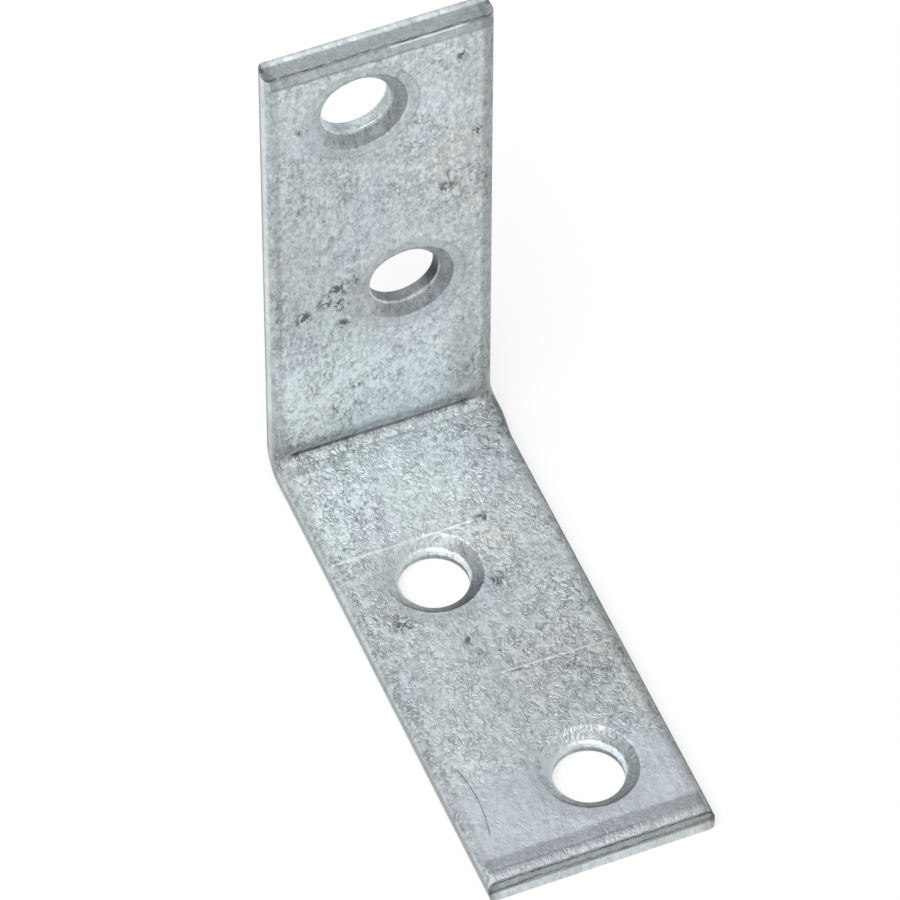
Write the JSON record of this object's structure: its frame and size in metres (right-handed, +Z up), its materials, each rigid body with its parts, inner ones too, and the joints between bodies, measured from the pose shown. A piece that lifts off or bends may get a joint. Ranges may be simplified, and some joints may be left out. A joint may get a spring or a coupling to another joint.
{
  "type": "corner brace bracket",
  "caption": "Right-angle bracket of bent plated strip, with rolled long edges and countersunk screw holes staggered along both legs",
  "frame": {"origin": "middle of the bounding box, on the bottom face of the base leg", "axes": "+X across the strip, -Y along the base leg to its free end (the wall leg stands at +Y), +Z up the wall leg"},
  "size_m": [0.0164, 0.0392, 0.0402],
  "materials": {
    "zinc_steel": "dull zinc plating with a fine mottled grain"
  },
  "bodies": {
    "root": {"brace": "zinc_steel"}
  },
  "joints": []
}
